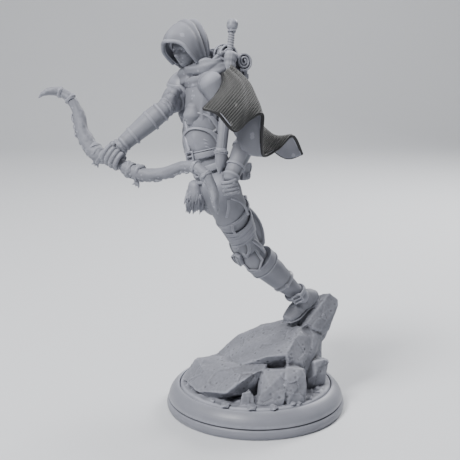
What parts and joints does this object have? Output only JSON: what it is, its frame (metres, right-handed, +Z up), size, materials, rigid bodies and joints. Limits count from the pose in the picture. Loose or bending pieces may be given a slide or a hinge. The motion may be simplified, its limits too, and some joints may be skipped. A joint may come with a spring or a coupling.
{
  "type": "display miniature figure",
  "caption": "Hooded archer display miniature leaping off a rock with a recurve bow and flying cape, cast in grey resin on a turned round plinth.",
  "frame": {"origin": "middle of the plinth's flat underside", "axes": "+Z up, the figure leaps and looks towards -X, the bow arm side is +Y and the viewer stands at -Y"},
  "size_m": [0.0705, 0.0502, 0.0957],
  "materials": {
    "resin_grey": "matt cast resin in a plain grey primer",
    "rock_resin": "matt cast resin, rough stone texture, grey primer",
    "plinth_resin": "smooth satin resin, turned rings, grey primer",
    "cape_cloth_cast": "matt cast resin with a fine ribbed weave on the outside, dark grey",
    "pin_steel": "plain steel rod, hidden"
  },
  "bodies": {
    "plinth": {"plinth": "plinth_resin"},
    "figure": {"ankle_buckle": "resin_grey", "ankle_strap": "resin_grey", "backpack": "resin_grey", "bedroll": "resin_grey", "bedroll_straps": "resin_grey", "belt_pouch": "resin_grey", "boot_shaft": "resin_grey", "bow_bracer": "resin_grey", "bow_grip": "resin_grey", "bow_hand": "resin_grey", "bow_lower_limb": "resin_grey", "bow_upper_arm": "resin_grey", "bow_upper_limb": "resin_grey", "breastplate": "resin_grey", "calf_band": "resin_grey", "cape": "cape_cloth_cast", "chape": "resin_grey", "coat_tail": "resin_grey", "drawn_bracer": "resin_grey", "drawn_hand": "resin_grey", "drawn_upper_arm": "resin_grey", "foot_pin": "pin_steel", "free_boot": "resin_grey", "free_shin": "resin_grey", "free_thigh": "resin_grey", "front_boulder": "rock_resin", "fur_pouch": "resin_grey", "garter_strap": "resin_grey", "ground_insert": "rock_resin", "guard": "resin_grey", "head": "resin_grey", "hips": "resin_grey", "hood": "resin_grey", "knee_plate": "resin_grey", "limb_bindings": "resin_grey", "loose_stones": "rock_resin", "lower_belt": "resin_grey", "pommel": "resin_grey", "rock_ledge": "rock_resin", "rock_slab": "rock_resin", "rock_spike": "rock_resin", "scabbard": "resin_grey", "scarf": "resin_grey", "shin_greave": "resin_grey", "shoulder_plate": "resin_grey", "shoulder_roll": "resin_grey", "side_boulder": "rock_resin", "sleeve_wraps": "resin_grey", "standing_boot": "resin_grey", "standing_thigh": "resin_grey", "sword_grip": "resin_grey", "thigh_wraps": "resin_grey", "torso": "resin_grey", "upper_belt": "resin_grey", "waist_plate_lower": "resin_grey", "waist_plate_upper": "resin_grey"}
  },
  "joints": [
    {"name": "insert_lift", "type": "slide", "parent": "plinth", "child": "figure", "axis": [0, 0, 1], "range_m": [0, 0.006]}
  ]
}
